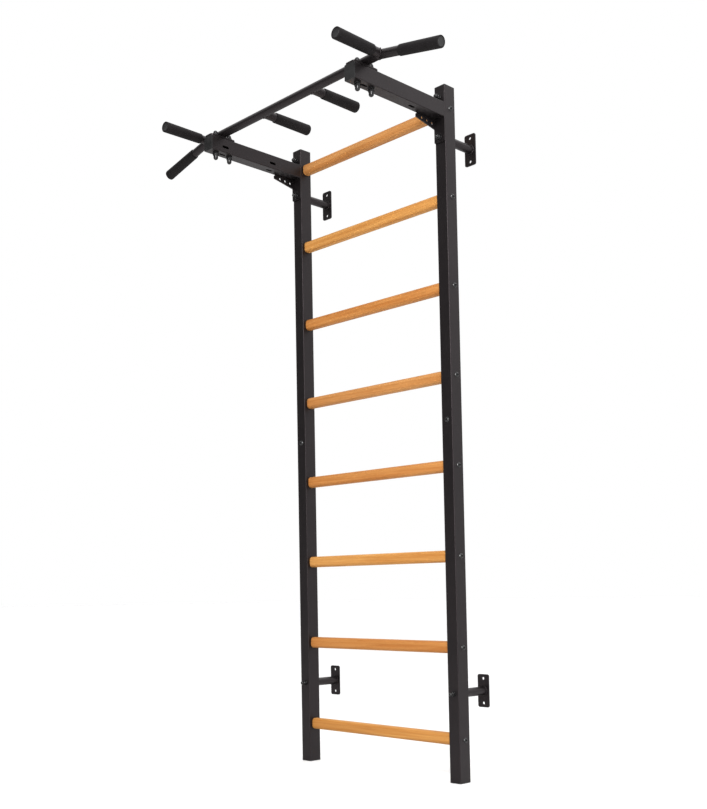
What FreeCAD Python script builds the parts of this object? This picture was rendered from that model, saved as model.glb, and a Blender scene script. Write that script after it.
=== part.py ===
import FreeCAD, Part
import Sketcher
import math
import os

# Wall ladder: two steel posts, eight wooden rungs, four wall brackets and a bolt-on pull-up bar.
# Millimetres, +X to the right, +Y towards the wall, +Z up. The origin lies on the wall, on the
# centre line, level with the middle of the lower pair of wall plates.

SIZES = {
    # ladder
    "rung_pitch": 311,
    "foot_to_rung": 143,
    "rung_to_top": 80,
    "post_spacing": 720,
    "post_width": 45,
    "post_depth": 55,
    "post_wall": 2,
    "post_corner": 3,
    "seam_drop": 19.5,
    "wall_gap": 115,
    # rungs
    "rung_depth": 37,
    "rung_height": 41,
    "rung_corner": 13,
    "rung_setback": 31,
    "insert_diameter": 12,
    "insert_length": 25,
    "insert_bore_depth": 42,
    # joint in the middle of each post
    "joiner_length": 160,
    "joiner_wall": 2,
    "joiner_corner": 2.5,
    "fit_clearance": 0.2,
    "joint_bolt_rise": 20,
    # plastic caps
    "cap_flange": 3,
    "cap_plug": 22,
    "cap_wall": 2.5,
    # wall brackets
    "upper_bracket_drop": 184,
    "wall_plate_width": 46,
    "wall_plate_height": 114,
    "wall_plate_thick": 5,
    "wall_plate_corner": 7,
    "wall_hole_spacing": 85,
    "wall_hole": 10,
    "spacer_diameter": 30,
    "spacer_wall": 2.5,
    "spacer_end": 6,
    # arms
    "arm_plate_thick": 5,
    "arm_plate_margin": 17,
    "arm_plate_corner": 4,
    "arm_bolt_drop": 42,
    "arm_drop": 64,
    "arm_height": 53,
    "arm_wall": 2.5,
    "arm_reach": 447,
    "slot_length": 30,
    "slot_height": 9,
    "slot_drop": 6,
    "front_slot": 66,
    "rear_slot": 145,
    "gusset_length": 100,
    "gusset_front": 15,
    "gusset_rear": 34,
    "gusset_thick": 4,
    "gusset_hole": 9,
    "gusset_hole_pitch": 27,
    "gusset_hole_first": 15,
    "gusset_chamfer": 5,
    # saddles that carry the bar
    "saddle_thick": 6,
    "saddle_corner": 12,
    "saddle_margin": 3,
    "nut_gap_front": 1,
    "nut_gap_rear": 12,
    "bar_setback": 63,
    # pull-up bar
    "bar_diameter": 30,
    "bar_wall": 2.5,
    "bar_bend": 430,
    "side_angle": 12.8,
    "side_length": 257,
    "front_handle": 436,
    "front_length": 204,
    "inner_handle": 123,
    "inner_length": 220,
    "grip_length": 165,
    "grip_root_wall": 2.75,
    "grip_tip_wall": 4,
    "plug_flange": 3,
    "plug_length": 15,
    # fasteners
    "rung_screw": 8,
    "rung_screw_hole": 8.4,
    "screw_head": 20,
    "screw_head_height": 6,
    "screw_socket": 6,
    "screw_socket_depth": 3,
    "joint_nut": 13,
    "joint_nut_height": 6.5,
    "post_bolt": 10,
    "post_bolt_hole": 10.4,
    "post_bolt_head": 6.5,
    "post_stud_root": 8,
    "post_nut": 16,
    "post_nut_hex": 8,
    "post_nut_neck": 4,
    "post_nut_dome": 14,
    "post_washer": 20,
    "post_washer_thick": 2,
    "saddle_bolt": 12,
    "saddle_bolt_hole": 12.4,
    "saddle_nut": 19,
    "saddle_nut_hex": 10,
    "saddle_neck_top": 3,
    "saddle_neck_low": 7,
    "saddle_nut_dome": 17,
    "saddle_washer": 24,
    "saddle_washer_thick": 2.5,
}
RUNGS = 8
HALF_RUNGS = 4
HALF = 0.5  # the seam of a post lies below the middle of the gap between its rungs
RIGHT_ANGLE = 90
HEXAGON_CORNER = 1 / math.sqrt(3)  # a hexagon's corner radius over its width across flats
SLOT_END = 0.49  # a slot's corner radius over its height
GUSSET_ROW = 0.48  # how far down the gusset its row of holes runs
OVERRUN = 30  # how far tools reach past what they cut
BLOCK = 4 * OVERRUN
SIDES = (("left", -1), ("right", 1))

doc = FreeCAD.newDocument("wall_ladder")
sheet = doc.addObject("Spreadsheet::Sheet", "Sizes")


class Size:
    """A dimension: its number, and the spreadsheet expression that gives it."""

    def __init__(self, number, text):
        self.number = number
        self.text = text

    def __add__(self, other):
        other = size(other)
        return Size(self.number + other.number, "(%s + %s)" % (self.text, other.text))

    def __sub__(self, other):
        other = size(other)
        return Size(self.number - other.number, "(%s - %s)" % (self.text, other.text))

    def __mul__(self, other):
        other = size(other)
        return Size(self.number * other.number, "(%s * %s)" % (self.text, other.text))

    def __truediv__(self, other):
        other = size(other)
        return Size(self.number / other.number, "(%s / %s)" % (self.text, other.text))

    def __neg__(self):
        return Size(-self.number, "(-1 * %s)" % self.text)

    __radd__ = __add__
    __rmul__ = __mul__


def size(value):
    """A plain number as a Size."""
    return value if isinstance(value, Size) else Size(value, repr(value))


for row, (alias, number) in enumerate(SIZES.items(), start=1):
    sheet.set("A%d" % row, alias)
    sheet.set("B%d" % row, str(number))
    sheet.setAlias("B%d" % row, alias)
doc.recompute()
S = {alias: Size(number, "Sizes." + alias) for alias, number in SIZES.items()}

# Places that several pieces share.
LOWER_PLATE = S["foot_to_rung"] + S["rung_pitch"] / 2
FLOOR = -LOWER_PLATE
RUNG_RUN = S["rung_pitch"] * (RUNGS - 1)
TOP = FLOOR + S["foot_to_rung"] + RUNG_RUN + S["rung_to_top"]
SEAM = FLOOR + S["foot_to_rung"] + S["rung_pitch"] * (HALF_RUNGS - HALF) - S["seam_drop"]
TUBE_BOTTOM = FLOOR + S["cap_flange"]
TUBE_TOP = TOP - S["cap_flange"]
POST_X = S["post_spacing"] / 2
POST_BACK = -S["wall_gap"]
POST_Y = POST_BACK - S["post_depth"] / 2
POST_FRONT = POST_BACK - S["post_depth"]
RUNG_Y = POST_FRONT + S["rung_setback"]
UPPER_BRACKET = TOP - S["upper_bracket_drop"]
ARM_BOLT = TOP - S["arm_bolt_drop"]
JOINT_BOLT = SEAM + S["joint_bolt_rise"]
ARM_PLATE_FRONT = POST_FRONT - S["arm_plate_thick"]
ARM_TOP = TOP - S["arm_drop"]
ARM_BOTTOM = ARM_TOP - S["arm_height"]
ARM_FRONT = ARM_PLATE_FRONT - S["arm_reach"]
SADDLE_TOP = ARM_TOP + S["saddle_thick"]
BAR_Y = ARM_FRONT + S["bar_setback"]
BAR_Z = SADDLE_TOP + S["bar_diameter"] / 2
NUT_FROM_BAR = S["bar_diameter"] / 2 + S["saddle_nut"] * HEXAGON_CORNER
SADDLE_BOLTS = (
    BAR_Y - NUT_FROM_BAR - S["nut_gap_front"],
    BAR_Y + NUT_FROM_BAR + S["nut_gap_rear"],
)
SADDLE_LENGTH = SADDLE_BOLTS[1] - ARM_FRONT + S["saddle_washer"] / 2 + S["saddle_margin"]

parts = []


def bind(made, **sizes):
    """Ties properties to the spreadsheet."""
    for name, value in sizes.items():
        made.setExpression(name, size(value).text)
    return made


def place(made, x=0, y=0, z=0, axis=(0, 0, 1), angle=0):
    """Puts an object at x, y, z, turned about axis. The three lengths stay tied to the sheet."""
    turn = FreeCAD.Rotation(FreeCAD.Vector(*axis), size(angle).number)
    made.Placement = FreeCAD.Placement(FreeCAD.Vector(0, 0, 0), turn)
    for letter, value in zip("xyz", (x, y, z)):
        made.setExpression(".Placement.Base." + letter, size(value).text)
    if isinstance(angle, Size):
        made.setExpression(".Placement.Rotation.Angle", angle.text)
    return made


def keep(made, label):
    """Names a finished sub-part and lists it for the export."""
    made.Label = label
    parts.append(made)
    return made


# ---- profiles and solids -------------------------------------------------------------------


def new_body(name):
    return doc.addObject("PartDesign::Body", name)


def new_sketch(body, role="XY_Plane"):
    """An empty sketch on one of the body's own origin planes."""
    sketch = body.newObject("Sketcher::SketchObject", body.Name + "_" + role[:2])
    plane = [f for f in body.Origin.OriginFeatures if f.Role == role][0]
    sketch.AttachmentSupport = [(plane, "")]
    sketch.MapMode = "FlatFace"
    return sketch


def rounded_rectangle(sketch, wide, high, corner, x=0, y=0):
    """A rounded rectangle centred on x, y, with every size tied to the sheet."""
    wide, high, corner, x, y = (size(v) for v in (wide, high, corner, x, y))
    half_wide, half_high, r = wide.number / 2, high.number / 2, corner.number
    cx, cy = x.number, y.number
    spots = []
    for sx, sy, start in ((1, 1, 0), (-1, 1, 1), (-1, -1, 2), (1, -1, 3)):
        centre = FreeCAD.Vector(cx + sx * (half_wide - r), cy + sy * (half_high - r), 0)
        spots.append((centre, start * math.pi / 2))
    arcs = []
    for centre, start in spots:
        circle = Part.Circle(centre, FreeCAD.Vector(0, 0, 1), r)
        arcs.append(sketch.addGeometry(Part.ArcOfCircle(circle, start, start + math.pi / 2)))
    lines = []
    for k in range(4):
        this, following = spots[k], spots[(k + 1) % 4]
        out = FreeCAD.Vector(math.cos(this[1] + math.pi / 2), math.sin(this[1] + math.pi / 2), 0)
        lines.append(sketch.addGeometry(Part.LineSegment(this[0] + out * r, following[0] + out * r)))
    add = sketch.addConstraint
    new = Sketcher.Constraint
    for k in range(4):
        add(new("Tangent", arcs[k], 2, lines[k], 1))
        add(new("Tangent", lines[k], 2, arcs[(k + 1) % 4], 1))
    for k in range(4):
        add(new("Horizontal" if k % 2 == 0 else "Vertical", lines[k]))
    for k in range(1, 4):
        add(new("Equal", arcs[0], arcs[k]))
    tied = [
        (add(new("Radius", arcs[0], r)), corner),
        (add(new("DistanceX", arcs[2], 3, arcs[0], 3, 2 * (half_wide - r))), wide - corner * 2),
        (add(new("DistanceY", arcs[2], 3, arcs[0], 3, 2 * (half_high - r))), high - corner * 2),
    ]
    for kind, spot, value in (("DistanceX", cx, x - wide / 2), ("DistanceY", cy, y - high / 2)):
        edge = lines[1] if kind == "DistanceX" else lines[2]
        reach = spot - (half_wide if kind == "DistanceX" else half_high)
        tied.append((add(new(kind, -1, 1, edge, 1, reach)), value))
    for index, value in tied:
        sketch.setExpression("Constraints[%d]" % index, value.text)


def round_hole(sketch, diameter, x=0, y=0):
    """A circle in a sketch, with its place and diameter tied to the sheet."""
    diameter, x, y = size(diameter), size(x), size(y)
    centre = FreeCAD.Vector(x.number, y.number, 0)
    new = Sketcher.Constraint
    circle = sketch.addGeometry(Part.Circle(centre, FreeCAD.Vector(0, 0, 1), diameter.number / 2))
    for constraint, value in (
        (new("Diameter", circle, diameter.number), diameter),
        (new("DistanceX", -1, 1, circle, 3, x.number), x),
        (new("DistanceY", -1, 1, circle, 3, y.number), y),
    ):
        sketch.setExpression("Constraints[%d]" % sketch.addConstraint(constraint), value.text)


def outline(sketch, points):
    """A closed polygon whose corners are tied to the sheet."""
    new = Sketcher.Constraint
    spots = [FreeCAD.Vector(size(x).number, size(y).number, 0) for x, y in points]
    count = len(spots)
    edges = [sketch.addGeometry(Part.LineSegment(spots[k], spots[(k + 1) % count])) for k in range(count)]
    for k in range(count):
        sketch.addConstraint(new("Coincident", edges[k], 2, edges[(k + 1) % count], 1))
    for edge, (x, y) in zip(edges, points):
        for kind, value in (("DistanceX", size(x)), ("DistanceY", size(y))):
            index = sketch.addConstraint(new(kind, -1, 1, edge, 1, value.number))
            sketch.setExpression("Constraints[%d]" % index, value.text)


def pad(body, sketch, length):
    """Extrudes a sketch along its plane's normal."""
    made = body.newObject("PartDesign::Pad", body.Name + "_pad")
    made.Profile = sketch
    return bind(made, Length=length)


def cut(body, sketch, side=0):
    """Cuts a sketch right through the body: both ways, or only to one side of its plane.

    side 1 cuts along the plane's normal and -1 against it. The volume has to fall.
    """
    doc.recompute()
    before = body.Shape.Volume
    made = body.newObject("PartDesign::Pocket", body.Name + "_cut")
    made.Profile = sketch
    made.Type = "ThroughAll"
    made.Midplane = side == 0
    made.Reversed = side == 1
    doc.recompute()
    if not body.Shape.Volume < before:
        raise RuntimeError(body.Name + ": a cut removed nothing")
    return made


def repeat_up(body, feature, sketch, count, run):
    """Repeats a cut along the sketch's vertical axis."""
    made = body.newObject("PartDesign::LinearPattern", body.Name + "_row")
    made.Originals = [feature]
    made.Direction = (sketch, ["V_Axis"])
    made.Occurrences = count
    bind(made, Length=run)
    body.Tip = made
    return made


def cylinder(name, diameter, length, **where):
    made = doc.addObject("Part::Cylinder", name)
    bind(made, Radius=size(diameter) / 2, Height=length)
    return place(made, **where)


def box(name, x_size, y_size, z_size, **where):
    made = doc.addObject("Part::Box", name)
    bind(made, Length=x_size, Width=y_size, Height=z_size)
    return place(made, **where)


def hexagon(name, across_flats, length, **where):
    made = doc.addObject("Part::Prism", name)
    made.Polygon = 6
    bind(made, Circumradius=size(across_flats) * HEXAGON_CORNER, Height=length)
    return place(made, **where)


def dome(name, diameter, height, z=0):
    """A spherical cap standing on the plane z, of the given base diameter and height."""
    base, rise = size(diameter) / 2, size(height)
    sphere = (base * base + rise * rise) / (rise * 2)
    made = doc.addObject("Part::Sphere", name)
    bind(made, Radius=sphere)
    made.setExpression("Angle1", "asin((%s - %s) / %s)" % (sphere.text, rise.text, sphere.text))
    return place(made, z=size(z) + rise - sphere)


def fuse(name, *pieces):
    made = doc.addObject("Part::MultiFuse", name)
    made.Shapes = list(pieces)
    return made


def subtract(name, base, tool):
    made = doc.addObject("Part::Cut", name)
    made.Base = base
    made.Tool = tool
    return made


def group(label, pieces):
    """Identical fasteners as one sub-part of separate solids."""
    made = doc.addObject("Part::Compound", label)
    made.Links = list(pieces)
    return keep(made, label)


TO_ROOM = {"axis": (1, 0, 0), "angle": RIGHT_ANGLE}
TO_WALL = {"axis": (1, 0, 0), "angle": -RIGHT_ANGLE}
TO_RIGHT = {"axis": (0, 1, 0), "angle": RIGHT_ANGLE}
TO_LEFT = {"axis": (0, 1, 0), "angle": -RIGHT_ANGLE}


# ---- posts -----------------------------------------------------------------------------------


def tube_profile(sketch, wide, high, corner, wall):
    """The section of a rectangular tube."""
    rounded_rectangle(sketch, wide, high, corner)
    rounded_rectangle(sketch, wide - wall * 2, high - wall * 2, corner - wall)


def post_half(side, sign, half):
    """One half of a post, with the holes for its rung screws and its bolts."""
    lower = half == "lower"
    bottom = TUBE_BOTTOM if lower else SEAM
    top = SEAM if lower else TUBE_TOP
    body = new_body("post_%s_%s" % (side, half))
    profile = new_sketch(body)
    tube_profile(profile, S["post_width"], S["post_depth"], S["post_corner"], S["post_wall"])
    pad(body, profile, top - bottom)
    first = FLOOR + S["foot_to_rung"]
    if not lower:
        first = first + S["rung_pitch"] * HALF_RUNGS
    holes = new_sketch(body, "YZ_Plane")
    round_hole(holes, S["rung_screw_hole"], RUNG_Y - POST_Y, first - bottom)
    row = cut(body, holes)
    repeat_up(body, row, holes, HALF_RUNGS, S["rung_pitch"] * (HALF_RUNGS - 1))
    bolts = new_sketch(body, "XZ_Plane")
    heights = (size(0),) if lower else (UPPER_BRACKET, ARM_BOLT)
    for height in heights:
        round_hole(bolts, S["post_bolt_hole"], 0, height - bottom)
    cut(body, bolts)
    if not lower:
        joint = new_sketch(body, "XZ_Plane")
        round_hole(joint, S["rung_screw_hole"], 0, JOINT_BOLT - bottom)
        cut(body, joint, side=1)
    place(body, x=POST_X * sign, y=POST_Y, z=bottom)
    keep(body, "post_%s_%s" % (side, half))


def joiner(side, sign):
    """The inner tube that joins the two halves of a post."""
    gap = (S["post_wall"] + S["fit_clearance"]) * 2
    wide, deep = S["post_width"] - gap, S["post_depth"] - gap
    body = new_body("post_joiner_" + side)
    profile = new_sketch(body)
    tube_profile(profile, wide, deep, S["joiner_corner"], S["joiner_wall"])
    pad(body, profile, S["joiner_length"])
    joint = new_sketch(body, "XZ_Plane")
    round_hole(joint, S["rung_screw_hole"], 0, S["joiner_length"] / 2 + S["joint_bolt_rise"])
    cut(body, joint, side=1)
    place(body, x=POST_X * sign, y=POST_Y, z=SEAM - S["joiner_length"] / 2)
    keep(body, "post_joiner_" + side)


def tube_cap(name, wide, high, corner, wall):
    """A plastic insert: a flange the size of the tube, and a hollow plug that fits inside it."""
    body = new_body(name)
    flange = new_sketch(body)
    rounded_rectangle(flange, wide, high, corner)
    pad(body, flange, S["cap_flange"])
    plug = new_sketch(body)
    gap = (wall + S["fit_clearance"]) * 2
    inner = corner - wall
    rounded_rectangle(plug, wide - gap, high - gap, inner)
    hollow = gap + S["cap_wall"] * 2
    rounded_rectangle(plug, wide - hollow, high - hollow, inner / 2)
    pad(body, plug, S["cap_flange"] + S["cap_plug"])
    return body


for side, sign in SIDES:
    for half in ("lower", "upper"):
        post_half(side, sign, half)
    joiner(side, sign)

POST_TUBE = (S["post_width"], S["post_depth"], S["post_corner"], S["post_wall"])
feet = [
    place(tube_cap("foot_" + side, *POST_TUBE), x=POST_X * sign, y=POST_Y, z=FLOOR)
    for side, sign in SIDES
]
group("post_feet", feet)
tops = [
    place(
        tube_cap("top_cap_" + side, *POST_TUBE),
        x=POST_X * sign, y=POST_Y, z=TOP, axis=(1, 0, 0), angle=2 * RIGHT_ANGLE,
    )
    for side, sign in SIDES
]
group("post_top_caps", tops)


# ---- rungs -----------------------------------------------------------------------------------

RUNG_LENGTH = S["post_spacing"] - S["post_width"]


def rung_height(number):
    """The height of a rung's axis. Rung 1 is the top one."""
    return FLOOR + S["foot_to_rung"] + S["rung_pitch"] * (RUNGS - number)


def rung(number):
    """A rung of solid wood, with a blind bore in each end for its threaded insert."""
    body = new_body("rung_%d_bar" % number)
    profile = new_sketch(body)
    rounded_rectangle(profile, S["rung_height"], S["rung_depth"], S["rung_corner"])
    pad(body, profile, RUNG_LENGTH)
    depth = S["insert_bore_depth"]
    bores = fuse(
        "rung_%d_bores" % number,
        cylinder("rung_%d_bore_a" % number, S["insert_diameter"], depth),
        cylinder("rung_%d_bore_b" % number, S["insert_diameter"], depth, z=RUNG_LENGTH - depth),
    )
    made = subtract("rung_%d" % number, body, bores)
    place(made, x=-RUNG_LENGTH / 2, y=RUNG_Y, z=rung_height(number), **TO_RIGHT)
    keep(made, "rung_%d" % number)


def button_screw(name, shank, length):
    """A button-head screw with a hexagon socket. Its head sits on z = 0 and its shank runs down."""
    head = dome(name + "_head", S["screw_head"], S["screw_head_height"])
    stem = cylinder(name + "_stem", shank, length, z=-size(length))
    socket_floor = S["screw_head_height"] - S["screw_socket_depth"]
    socket = hexagon(name + "_socket", S["screw_socket"], S["screw_head_height"], z=socket_floor)
    return subtract(name, fuse(name + "_blank", head, stem), socket)


def rung_fasteners():
    """A screw through each end of every rung's post, into a threaded insert in the rung."""
    screws, inserts = [], []
    reach = S["post_width"] + S["insert_length"]
    for number in range(1, RUNGS + 1):
        for side, sign in SIDES:
            spot = {"y": RUNG_Y, "z": rung_height(number)}
            name = "rung_screw_%d_%s" % (number, side)
            turn = TO_RIGHT if sign > 0 else TO_LEFT
            outside = (POST_X + S["post_width"] / 2) * sign
            screw = button_screw(name, S["rung_screw"], reach)
            screws.append(place(screw, x=outside, **spot, **turn))
            name = "rung_insert_%d_%s" % (number, side)
            sleeve = subtract(
                name,
                cylinder(name + "_out", S["insert_diameter"], S["insert_length"]),
                cylinder(name + "_bore", S["rung_screw"], S["insert_length"]),
            )
            back = TO_LEFT if sign > 0 else TO_RIGHT
            inserts.append(place(sleeve, x=RUNG_LENGTH / 2 * sign, **spot, **back))
    group("rung_screws", screws)
    group("rung_inserts", inserts)


for number in range(1, RUNGS + 1):
    rung(number)
rung_fasteners()


def joint_fasteners():
    """A button screw and a nut welded inside the joiner hold each post's joint."""
    screws, nuts = [], []
    inside = S["post_wall"] + S["fit_clearance"] + S["joiner_wall"]
    for side, sign in SIDES:
        spot = {"x": POST_X * sign, "z": JOINT_BOLT}
        name = "joint_bolt_" + side
        reach = inside + S["joint_nut_height"]
        screw = button_screw(name, S["rung_screw"], reach)
        screws.append(place(screw, y=POST_FRONT, **spot, **TO_ROOM))
        name = "joint_nut_" + side
        nut = subtract(
            name,
            hexagon(name + "_hex", S["joint_nut"], S["joint_nut_height"]),
            cylinder(name + "_bore", S["rung_screw"], S["joint_nut_height"]),
        )
        nuts.append(place(nut, y=POST_FRONT + inside, **spot, **TO_WALL))
    group("joint_bolts", screws)
    group("joint_nuts", nuts)


joint_fasteners()


# ---- wall brackets -----------------------------------------------------------------------------

BRACKETS = [
    (level, height, side, sign)
    for level, height in (("upper", UPPER_BRACKET), ("lower", size(0)))
    for side, sign in SIDES
]


def wall_plate(level, height, side, sign):
    """A plate against the wall, with one screw hole above its spacer and one below."""
    name = "wall_plate_%s_%s" % (level, side)
    body = new_body(name)
    profile = new_sketch(body)
    rounded_rectangle(profile, S["wall_plate_width"], S["wall_plate_height"], S["wall_plate_corner"])
    for way in (-1, 1):
        round_hole(profile, S["wall_hole"], 0, S["wall_hole_spacing"] / 2 * way)
    pad(body, profile, S["wall_plate_thick"])
    place(body, x=POST_X * sign, z=height, **TO_ROOM)
    keep(body, name)


def wall_spacer(level, height, side, sign):
    """The round tube between wall plate and post, closed at the post by a threaded end."""
    name = "wall_spacer_%s_%s" % (level, side)
    length = S["wall_gap"] - S["wall_plate_thick"]
    bore = S["spacer_diameter"] - S["spacer_wall"] * 2
    hollow = fuse(
        name + "_hollow",
        cylinder(name + "_bore", bore, length - S["spacer_end"]),
        cylinder(name + "_thread", S["post_bolt"], length),
    )
    made = subtract(name, cylinder(name + "_out", S["spacer_diameter"], length), hollow)
    place(made, x=POST_X * sign, y=-S["wall_plate_thick"], z=height, **TO_ROOM)
    keep(made, name)


for bracket in BRACKETS:
    wall_plate(*bracket)
    wall_spacer(*bracket)


# ---- arms --------------------------------------------------------------------------------------

ARM_PLATE_TOP = ARM_BOLT + S["arm_plate_margin"]
ARM_PLATE_BOTTOM = UPPER_BRACKET - S["arm_plate_margin"]
ARM_PLATE_MIDDLE = (ARM_PLATE_TOP + ARM_PLATE_BOTTOM) / 2


def arm_plate(side, sign):
    """The plate that bolts the arm to the front of its post."""
    body = new_body("arm_plate_" + side)
    profile = new_sketch(body)
    tall = ARM_PLATE_TOP - ARM_PLATE_BOTTOM
    rounded_rectangle(profile, S["post_width"], tall, S["arm_plate_corner"])
    for height in (ARM_BOLT, UPPER_BRACKET):
        round_hole(profile, S["post_bolt_hole"], 0, height - ARM_PLATE_MIDDLE)
    pad(body, profile, S["arm_plate_thick"])
    place(body, x=POST_X * sign, y=POST_FRONT, z=ARM_PLATE_MIDDLE, **TO_ROOM)
    keep(body, "arm_plate_" + side)


def arm_tube(side, sign):
    """The square tube that carries the bar, with bolt holes and, underneath and inside, slots."""
    body = new_body("arm_tube_" + side)
    profile = new_sketch(body)
    tube_profile(profile, S["post_width"], S["arm_height"], S["post_corner"], S["arm_wall"])
    pad(body, profile, S["arm_reach"] - S["cap_flange"])
    bolts = new_sketch(body, "XZ_Plane")
    for spot in SADDLE_BOLTS:
        round_hole(bolts, S["saddle_bolt_hole"], 0, ARM_PLATE_FRONT - spot)
    cut(body, bolts)
    slots = (S["arm_reach"] - S["front_slot"], S["rear_slot"])
    under = new_sketch(body, "XZ_Plane")
    inner = new_sketch(body, "YZ_Plane")
    slot = (S["slot_height"], S["slot_length"], S["slot_height"] * SLOT_END)
    for spot in slots:
        rounded_rectangle(under, *slot, y=spot)
        rounded_rectangle(inner, *slot, x=S["slot_drop"] * -1, y=spot)
    cut(body, under, side=1)
    cut(body, inner, side=-sign)
    middle = (ARM_TOP + ARM_BOTTOM) / 2
    place(body, x=POST_X * sign, y=ARM_PLATE_FRONT, z=middle, **TO_ROOM)
    keep(body, "arm_tube_" + side)


def arm_gusset(side, sign):
    """The thin brace in the corner under the arm, flush with its left face."""
    body = new_body("arm_gusset_" + side)
    profile = new_sketch(body)
    length, front, rear = S["gusset_length"], S["gusset_front"], S["gusset_rear"]
    chamfer = S["gusset_chamfer"]
    corners = [(0, 0), (length - chamfer, 0), (length, -chamfer), (length, -front), (0, -rear)]
    outline(profile, corners)
    for k in range(3):
        along = S["gusset_hole_first"] + S["gusset_hole_pitch"] * k
        depth = rear - (rear - front) * along / length
        round_hole(profile, S["gusset_hole"], along, depth * -GUSSET_ROW)
    pad(body, profile, S["gusset_thick"])
    # The sketch's x runs forward from the plate, its y runs up, and the pad runs to the left.
    start = POST_X * sign - S["post_width"] / 2 + S["gusset_thick"]
    forward, up, left = FreeCAD.Vector(0, -1, 0), FreeCAD.Vector(0, 0, 1), FreeCAD.Vector(-1, 0, 0)
    turn = FreeCAD.Rotation(forward, up, left)
    turned = {"axis": tuple(turn.Axis), "angle": math.degrees(turn.Angle)}
    place(body, x=start, y=ARM_PLATE_FRONT, z=ARM_BOTTOM, **turned)
    keep(body, "arm_gusset_" + side)


def saddle_plate(side, sign):
    """The flat seat on the arm that the bar is welded to."""
    body = new_body("saddle_plate_" + side)
    profile = new_sketch(body)
    rounded_rectangle(profile, S["post_width"], SADDLE_LENGTH, S["saddle_corner"])
    middle = ARM_FRONT + SADDLE_LENGTH / 2
    for spot in SADDLE_BOLTS:
        round_hole(profile, S["saddle_bolt_hole"], 0, spot - middle)
    pad(body, profile, S["saddle_thick"])
    place(body, x=POST_X * sign, y=middle, z=ARM_TOP)
    keep(body, "saddle_plate_" + side)


for side, sign in SIDES:
    arm_plate(side, sign)
    arm_tube(side, sign)
    arm_gusset(side, sign)
    saddle_plate(side, sign)

ARM_TUBE = (S["post_width"], S["arm_height"], S["post_corner"], S["arm_wall"])
arm_caps = [
    place(
        tube_cap("arm_cap_" + side, *ARM_TUBE),
        x=POST_X * sign, y=ARM_FRONT, z=(ARM_TOP + ARM_BOTTOM) / 2, **TO_WALL,
    )
    for side, sign in SIDES
]
group("arm_front_caps", arm_caps)


# ---- bolts, washers and domed nuts -----------------------------------------------------------


def domed_nut(name, kind, neck):
    """A closed nut that stands on z = 0: a hexagon, a round neck and half a ball."""
    across, dome = S[kind + "_nut"], S[kind + "_nut_dome"]
    top = S[kind + "_nut_hex"] + neck
    ball = doc.addObject("Part::Sphere", name + "_ball")
    bind(ball, Radius=dome / 2)
    place(ball, z=top)
    blank = fuse(
        name + "_blank",
        hexagon(name + "_hex", across, S[kind + "_nut_hex"]),
        cylinder(name + "_neck", dome, top),
        ball,
    )
    return subtract(name, blank, cylinder(name + "_bore", S[kind + "_bolt"], top))


def washer(name, kind):
    """A flat washer that lies on z = 0."""
    thick = S[kind + "_washer_thick"]
    outside = cylinder(name + "_out", S[kind + "_washer"], thick)
    return subtract(name, outside, cylinder(name + "_in", S[kind + "_bolt_hole"], thick))


def engaged(kind, neck):
    """How far a stud reaches past the face its washer lies on."""
    return S[kind + "_washer_thick"] + S[kind + "_nut_hex"] + neck / 2


def post_fasteners():
    """Studs from the wall spacers and bolts for the arms, each with a washer and a domed nut."""
    studs, bolts, washers, nuts = [], [], [], []
    neck = S["post_nut_neck"]
    reach = engaged("post", neck)
    for side, sign in SIDES:
        for level, height, face in (
            ("lower", size(0), POST_FRONT),
            ("upper", UPPER_BRACKET, ARM_PLATE_FRONT),
            ("arm", ARM_BOLT, ARM_PLATE_FRONT),
        ):
            tag = "%s_%s" % (level, side)
            where = {"x": POST_X * sign, "z": height, **TO_ROOM}
            if level == "arm":
                stem = cylinder("arm_bolt_stem_" + tag, S["post_bolt"], POST_BACK - face + reach)
                thick = S["post_bolt_head"]
                head = hexagon("arm_bolt_head_" + tag, S["post_nut"], thick, z=-thick)
                bolts.append(place(fuse("arm_bolt_" + tag, stem, head), y=POST_BACK, **where))
            else:
                root = POST_BACK + S["post_stud_root"]
                stud = cylinder("wall_stud_" + tag, S["post_bolt"], root - face + reach)
                studs.append(place(stud, y=root, **where))
            washers.append(place(washer("post_washer_" + tag, "post"), y=face, **where))
            nut = domed_nut("post_nut_" + tag, "post", neck)
            nuts.append(place(nut, y=face - S["post_washer_thick"], **where))
    group("wall_studs", studs)
    group("arm_bolts", bolts)
    group("post_washers", washers)
    group("post_domed_nuts", nuts)


def saddle_fasteners():
    """Threaded rods through saddle and arm, with a washer and a domed nut at both ends."""
    rods, washers, nuts = [], [], []
    bottom = ARM_BOTTOM - engaged("saddle", S["saddle_neck_low"])
    top = SADDLE_TOP + engaged("saddle", S["saddle_neck_top"])
    for side, sign in SIDES:
        for index, spot in enumerate(SADDLE_BOLTS):
            tag = "%s_%d" % (side, index)
            where = {"x": POST_X * sign, "y": spot}
            rod = cylinder("saddle_rod_" + tag, S["saddle_bolt"], top - bottom)
            rods.append(place(rod, z=bottom, **where))
            for end, face, way in (("top", SADDLE_TOP, 1), ("low", ARM_BOTTOM, -1)):
                flip = {} if way > 0 else {"axis": (1, 0, 0), "angle": 2 * RIGHT_ANGLE}
                name = "%s_%s" % (tag, end)
                ring = washer("saddle_washer_" + name, "saddle")
                washers.append(place(ring, z=face, **where, **flip))
                nut = domed_nut("saddle_nut_" + name, "saddle", S["saddle_neck_" + end])
                thick = S["saddle_washer_thick"] * way
                nuts.append(place(nut, z=face + thick, **where, **flip))
    group("saddle_rods", rods)
    group("saddle_washers", washers)
    group("saddle_domed_nuts", nuts)


post_fasteners()
saddle_fasteners()


# ---- pull-up bar -------------------------------------------------------------------------------

BAR_BORE = S["bar_diameter"] - S["bar_wall"] * 2
MITRE = S["side_angle"] / 2


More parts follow.
